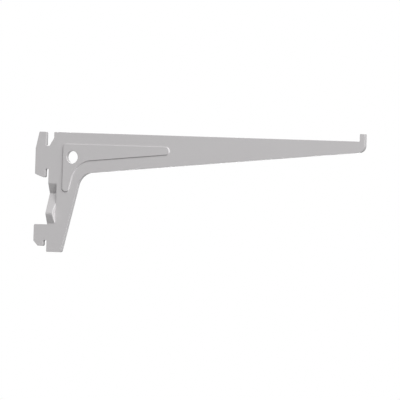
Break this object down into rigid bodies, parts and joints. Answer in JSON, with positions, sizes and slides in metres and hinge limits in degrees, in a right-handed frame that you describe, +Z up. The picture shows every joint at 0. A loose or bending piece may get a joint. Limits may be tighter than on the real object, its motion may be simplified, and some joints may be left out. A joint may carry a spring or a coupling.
{
  "type": "slotted shelf bracket",
  "caption": "Pressed sheet steel shelf bracket with a tapering arm and an upturned tip, hung by T-shaped hooks in the slots of a wall rail.",
  "frame": {"origin": "on the back edge that stands against the rail, between the upper hook and the waved strip, at the middle of the sheet", "axes": "+X along the arm, away from the rail; +Y through the sheet, away from the raised side of the panel; +Z up, the way the shelf seat faces"},
  "size_m": [0.2608, 0.0084, 0.0892],
  "materials": {
    "bracket_plate": "light grey powder coat, smooth and satin"
  },
  "bodies": {
    "root": {"bracket_plate": "bracket_plate"}
  },
  "joints": []
}
